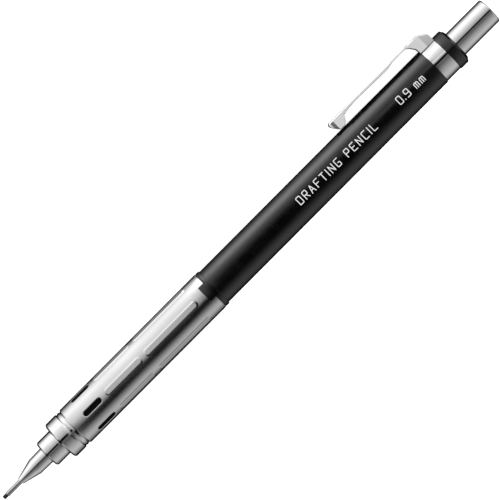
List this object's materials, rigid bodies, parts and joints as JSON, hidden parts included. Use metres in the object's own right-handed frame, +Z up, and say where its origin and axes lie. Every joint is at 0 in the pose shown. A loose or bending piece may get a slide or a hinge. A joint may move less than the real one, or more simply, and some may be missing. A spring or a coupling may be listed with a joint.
{
  "type": "mechanical pencil",
  "caption": "Clutch mechanical pencil with a stepped metal nose, slotted and ribbed metal grip, black barrel, sprung pocket clip, end collar and push button over the eraser.",
  "frame": {"origin": "on the pencil's axis at the front end of the lead sleeve", "axes": "+X along the pencil from the tip to the push button, +Z up with the pencil lying on its grip and on the corner of its clip, which points to +Y and down"},
  "size_m": [0.142, 0.012, 0.0093],
  "materials": {
    "black_resin": "semi-gloss black",
    "satin_aluminium": "satin, brushed lengthways",
    "plated_metal": "polished",
    "bare_steel": "satin",
    "brass": "machined",
    "inner_plastic": "moulded",
    "eraser_rubber": "soft white",
    "retainer_rubber": "soft black",
    "graphite": "dark, slightly shiny"
  },
  "bodies": {
    "barrel": {"barrel": "black_resin", "thread_insert": "brass", "grip_sleeve": "satin_aluminium", "clutch_housing": "brass", "chuck_spring": "bare_steel", "end_collar": "black_resin", "clip_band": "plated_metal"},
    "nose_carrier": {"nose_ring": "plated_metal"},
    "nose": {"nose_cone": "plated_metal", "lead_sleeve": "bare_steel", "lead_retainer": "retainer_rubber"},
    "feed": {"lead_pipe": "inner_plastic", "chuck_coupler": "inner_plastic", "chuck_tail": "brass", "eraser": "eraser_rubber", "eraser_ferrule": "satin_aluminium", "spare_lead_1": "graphite", "spare_lead_2": "graphite"},
    "jaw_1": {"chuck_jaw_1": "brass"},
    "jaw_2": {"chuck_jaw_2": "brass"},
    "jaw_3": {"chuck_jaw_3": "brass"},
    "clutch_ring": {"chuck_ring": "brass"},
    "cap": {"push_button": "plated_metal"},
    "lead": {"lead": "graphite"},
    "clip": {"clip_arm": "plated_metal"}
  },
  "joints": [
    {"name": "push", "type": "slide", "parent": "barrel", "child": "feed", "axis": [-1, 0, 0], "range_m": [0, 0.003], "stiffness_N_per_m": 500, "springref_m": -0.006, "deforming": ["chuck_spring"]},
    {"name": "clutch_ring_slide", "type": "slide", "parent": "barrel", "child": "clutch_ring", "axis": [-1, 0, 0], "range_m": [0, 0.00105]},
    {"name": "jaw_1_open", "type": "hinge", "parent": "feed", "child": "jaw_1", "pos_m": [0.028, 0, 0.0009], "axis": [0, 1, 0], "range_deg": [0, 1.6]},
    {"name": "jaw_2_open", "type": "hinge", "parent": "feed", "child": "jaw_2", "pos_m": [0.028, -0.00078, -0.00045], "axis": [0, -0.5, 0.866], "range_deg": [0, 1.6]},
    {"name": "jaw_3_open", "type": "hinge", "parent": "feed", "child": "jaw_3", "pos_m": [0.028, 0.00078, -0.00045], "axis": [0, -0.5, -0.866], "range_deg": [0, 1.6]},
    {"name": "cap_pull", "type": "slide", "parent": "feed", "child": "cap", "axis": [1, 0, 0], "range_m": [0, 0.014]},
    {"name": "lead_feed", "type": "slide", "parent": "barrel", "child": "lead", "axis": [-1, 0, 0], "range_m": [-0.001, 0.012]},
    {"name": "nose_advance", "type": "slide", "parent": "barrel", "child": "nose_carrier", "axis": [-1, 0, 0], "range_m": [0, 0.003]},
    {"name": "nose_unscrew", "type": "hinge", "parent": "nose_carrier", "child": "nose", "pos_m": [0.0172, 0, 0], "axis": [-1, 0, 0], "range_deg": [0, 2170]},
    {"name": "clip_flex", "type": "hinge", "parent": "barrel", "child": "clip", "pos_m": [0.12325, 0.00624, -0.00294], "axis": [0, -0.4255, -0.905], "range_deg": [0, 4], "stiffness_Nm_per_rad": 0.3, "springref_deg": -2.86}
  ],
  "couplings": [
    {"joint": "clutch_ring_slide", "follows": "push", "ratio": 0.33333},
    {"joint": "jaw_1_open", "follows": "push", "rad_per_m": 8.7266},
    {"joint": "jaw_2_open", "follows": "push", "rad_per_m": 8.7266},
    {"joint": "jaw_3_open", "follows": "push", "rad_per_m": 8.7266},
    {"joint": "nose_unscrew", "follows": "nose_advance", "rad_per_m": 12566}
  ]
}
